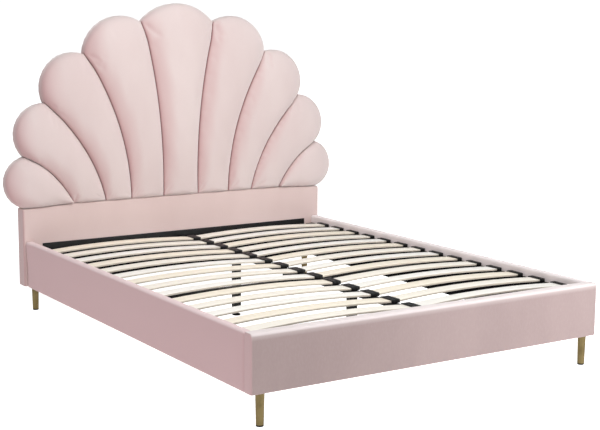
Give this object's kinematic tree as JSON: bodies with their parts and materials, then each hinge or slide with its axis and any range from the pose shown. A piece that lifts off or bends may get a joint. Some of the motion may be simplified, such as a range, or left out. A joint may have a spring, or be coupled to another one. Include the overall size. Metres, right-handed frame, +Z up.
{
  "type": "upholstered headboard bed",
  "caption": "Low upholstered bed with a scalloped, fan-channelled velvet headboard, padded rails, a bowed slat base and tapered brass legs.",
  "frame": {"origin": "on the floor, at the middle of the bed's bounding box", "axes": "+Y from the foot towards the headboard, +X to the right seen from the foot, +Z up"},
  "size_m": [1.7988, 2.125, 1.442],
  "materials": {
    "blush_velvet": "short-pile blush pink velvet",
    "ply_board": "raw plywood, hidden under the padding",
    "birch_slat": "pale birch laminate, satin",
    "black_steel": "satin black powder coat",
    "black_plastic": "matt black moulded plastic",
    "glide_plastic": "matt black moulded plastic",
    "antique_brass": "satin antique brass",
    "black_lining": "thin black non-woven dust cloth"
  },
  "bodies": {
    "bed_frame": {"headboard_board": "ply_board", "headboard_back_cloth": "black_lining", "channel_pad_1": "blush_velvet", "channel_pad_2": "blush_velvet", "channel_pad_3": "blush_velvet", "channel_pad_4": "blush_velvet", "channel_pad_5": "blush_velvet", "channel_pad_6": "blush_velvet", "channel_pad_7": "blush_velvet", "channel_pad_8": "blush_velvet", "channel_pad_9": "blush_velvet", "headboard_lower_panel": "blush_velvet", "side_rail_board_left": "ply_board", "side_rail_cover_left": "blush_velvet", "side_rail_board_right": "ply_board", "side_rail_cover_right": "blush_velvet", "foot_rail_board": "ply_board", "foot_rail_cover": "blush_velvet", "head_cross_rail": "black_steel", "mid_cross_rail": "black_steel", "centre_beam": "black_steel", "slat_caps_left": "black_plastic", "slat_caps_centre": "black_plastic", "slat_caps_right": "black_plastic", "slat_left_01": "birch_slat", "slat_left_02": "birch_slat", "slat_left_03": "birch_slat", "slat_left_04": "birch_slat", "slat_left_05": "birch_slat", "slat_left_06": "birch_slat", "slat_left_07": "birch_slat", "slat_left_08": "birch_slat", "slat_left_09": "birch_slat", "slat_left_10": "birch_slat", "slat_left_11": "birch_slat", "slat_left_12": "birch_slat", "slat_left_13": "birch_slat", "slat_left_14": "birch_slat", "slat_right_01": "birch_slat", "slat_right_02": "birch_slat", "slat_right_03": "birch_slat", "slat_right_04": "birch_slat", "slat_right_05": "birch_slat", "slat_right_06": "birch_slat", "slat_right_07": "birch_slat", "slat_right_08": "birch_slat", "slat_right_09": "birch_slat", "slat_right_10": "birch_slat", "slat_right_11": "birch_slat", "slat_right_12": "birch_slat", "slat_right_13": "birch_slat", "slat_right_14": "birch_slat", "leg_front_left": "antique_brass", "leg_front_right": "antique_brass", "leg_back_left": "antique_brass", "leg_back_right": "antique_brass", "centre_leg_head": "black_steel", "centre_leg_foot": "black_steel"},
    "glide_head": {"levelling_glide_head": "glide_plastic"},
    "glide_foot": {"levelling_glide_foot": "glide_plastic"}
  },
  "joints": [
    {"name": "glide_head_screw", "type": "slide", "parent": "bed_frame", "child": "glide_head", "axis": [0, 0, 1], "range_m": [0, 0.01]},
    {"name": "glide_foot_screw", "type": "slide", "parent": "bed_frame", "child": "glide_foot", "axis": [0, 0, 1], "range_m": [0, 0.01]}
  ]
}
